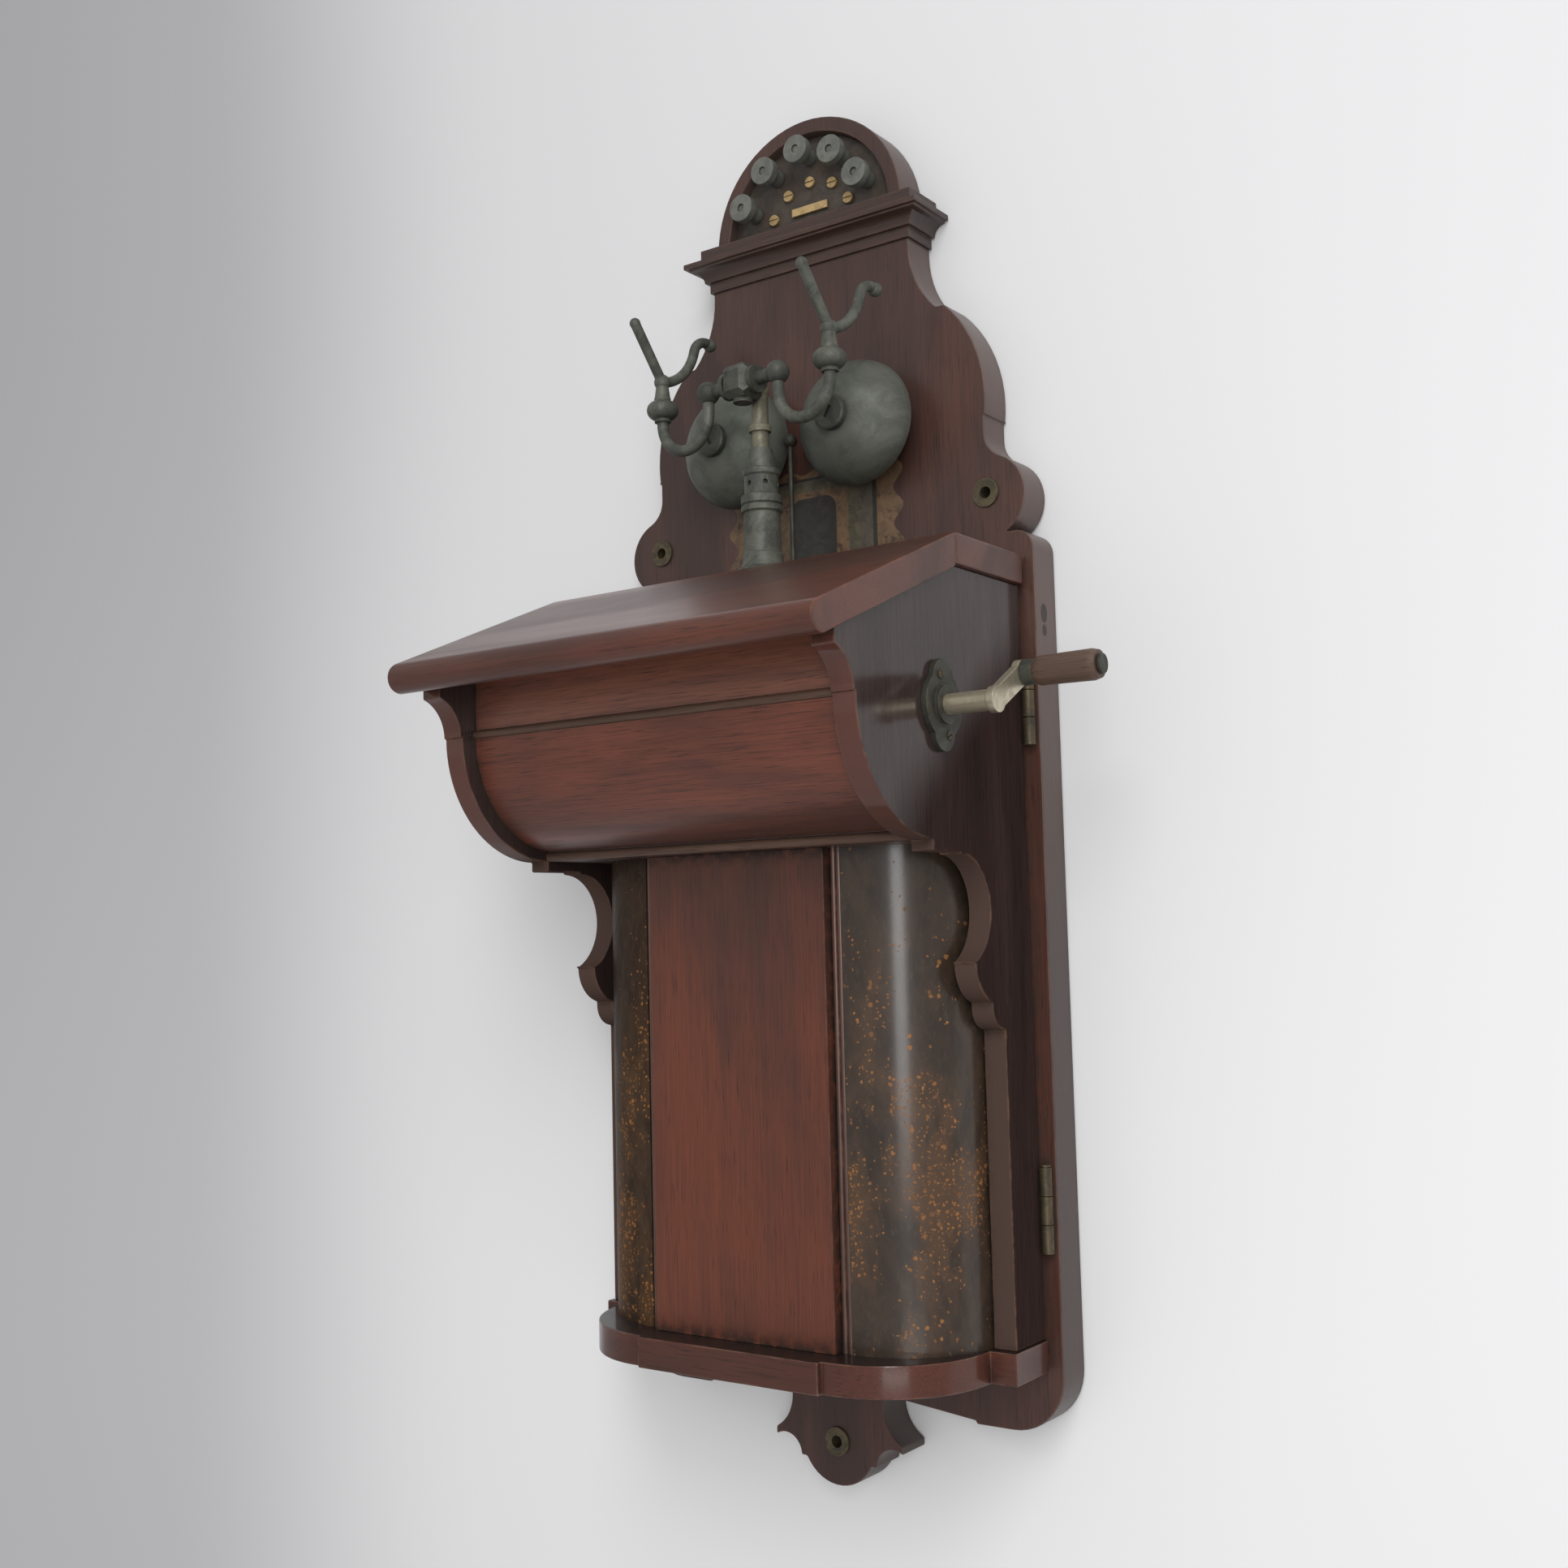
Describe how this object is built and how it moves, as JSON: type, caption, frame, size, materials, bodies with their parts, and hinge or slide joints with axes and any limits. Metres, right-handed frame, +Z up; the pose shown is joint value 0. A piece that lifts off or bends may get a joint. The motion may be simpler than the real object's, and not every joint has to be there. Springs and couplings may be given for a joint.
{
  "type": "wall telephone",
  "caption": "Wooden magneto wall telephone: shaped backboard with gongs and terminals, hinged case with writing desk, side crank and sprung handset cradle",
  "frame": {"origin": "on the wall face of the backboard, midway between the two upper fixing holes", "axes": "+X to the right seen from the room, +Y into the wall, +Z up"},
  "size_m": [0.3198, 0.2085, 0.7189],
  "materials": {
    "board_wood": "worn dark varnish",
    "case_wood": "worn varnish",
    "panel_wood": "red-brown varnish",
    "corner_veneer": "glossy dark varnish",
    "desk_wood": "rubbed, greyish sheen",
    "grip_wood": "worn, turned",
    "gong_metal": "oxidised plating",
    "cradle_metal": "oxidised plating",
    "terminal_metal": "oxidised plating",
    "gilt_brass": "tarnished",
    "aged_brass": "dull, aged",
    "nickel": "worn plating",
    "dark_iron": "dark, oxidised",
    "magnet_paint": "old paint",
    "spring_steel": "plain",
    "ebonite": "dull black",
    "coil_cotton": "cotton-covered wire",
    "cell_wrap": "waxed wrap"
  },
  "bodies": {
    "backboard": {"backboard": "board_wood", "cornice": "board_wood", "fixing_eyelets": "aged_brass", "terminal_plate": "ebonite", "terminal_studs": "terminal_metal", "terminal_nuts": "terminal_metal", "arrester_screws": "gilt_brass", "earth_bar": "gilt_brass", "gong_left": "gong_metal", "gong_right": "gong_metal", "gong_posts": "gong_metal", "gong_nuts": "gong_metal", "ringer_frame": "dark_iron", "ringer_coils": "coil_cotton", "ringer_magnet": "magnet_paint", "clapper_pivot": "dark_iron", "hinge_board_leaves": "aged_brass", "hinge_pins": "aged_brass"},
    "clapper": {"clapper_armature": "dark_iron", "clapper_rod": "aged_brass"},
    "case": {"side_board_left": "case_wood", "side_board_right": "case_wood", "desk_top": "desk_wood", "desk_shelf": "desk_wood", "frieze_rail": "case_wood", "bead_moulding": "case_wood", "bulge_panel": "panel_wood", "waist_moulding": "case_wood", "generator_shelf": "case_wood", "centre_panel": "panel_wood", "panel_beads": "case_wood", "corner_panel_left": "corner_veneer", "corner_panel_right": "corner_veneer", "base_board": "case_wood", "hinge_case_leaves": "aged_brass", "cradle_pillar": "cradle_metal", "hook_spring": "spring_steel", "contact_block": "ebonite", "contact_springs": "gilt_brass", "induction_coil": "coil_cotton", "battery_cells": "cell_wrap", "battery_terminals": "gilt_brass", "generator_magnets": "magnet_paint", "pole_pieces": "dark_iron", "generator_end_plates": "aged_brass", "crank_escutcheon": "dark_iron"},
    "crank": {"crank_shaft": "nickel", "drive_gear": "aged_brass", "crank_arm": "nickel", "grip_pin": "dark_iron"},
    "grip": {"crank_grip": "grip_wood"},
    "armature": {"armature_core": "dark_iron", "armature_winding": "coil_cotton", "pinion": "aged_brass"},
    "cradle": {"cradle_plunger": "cradle_metal", "cradle_crosshead": "cradle_metal", "cradle_arms": "cradle_metal", "cradle_forks": "cradle_metal"},
    "hook_lever": {"hook_lever": "gilt_brass"}
  },
  "joints": [
    {"name": "case_swing", "type": "hinge", "parent": "backboard", "child": "case", "pos_m": [0.1248, -0.0252, -0.23], "axis": [0, 0, 1], "range_deg": [0, 50]},
    {"name": "crank_turn", "type": "hinge", "parent": "case", "child": "crank", "pos_m": [0.12, -0.105, -0.116], "axis": [1, 0, 0], "continuous": true},
    {"name": "grip_spin", "type": "hinge", "parent": "crank", "child": "grip", "pos_m": [0.17, -0.08032, -0.10175], "axis": [1, 0, 0], "continuous": true},
    {"name": "armature_turn", "type": "hinge", "parent": "case", "child": "armature", "pos_m": [0.02, -0.08141, -0.1422], "axis": [1, 0, 0], "continuous": true},
    {"name": "cradle_slide", "type": "slide", "parent": "case", "child": "cradle", "axis": [0, 0, 1], "range_m": [-0.006, 0], "stiffness_N_per_m": 300, "springref_m": 0.015, "deforming": ["hook_spring"]},
    {"name": "hook_lever_turn", "type": "hinge", "parent": "case", "child": "hook_lever", "pos_m": [-0.02, -0.0686, -0.0593], "axis": [0, 1, 0], "range_deg": [0, 19]},
    {"name": "clapper_swing", "type": "hinge", "parent": "backboard", "child": "clapper", "pos_m": [0, -0.042, -0.0675], "axis": [0, 1, 0], "range_deg": [-1.5, 1.5], "stiffness_Nm_per_rad": 0.04}
  ],
  "couplings": [
    {"joint": "armature_turn", "follows": "crank_turn", "ratio": -4},
    {"joint": "hook_lever_turn", "follows": "cradle_slide", "rad_per_m": -54}
  ]
}
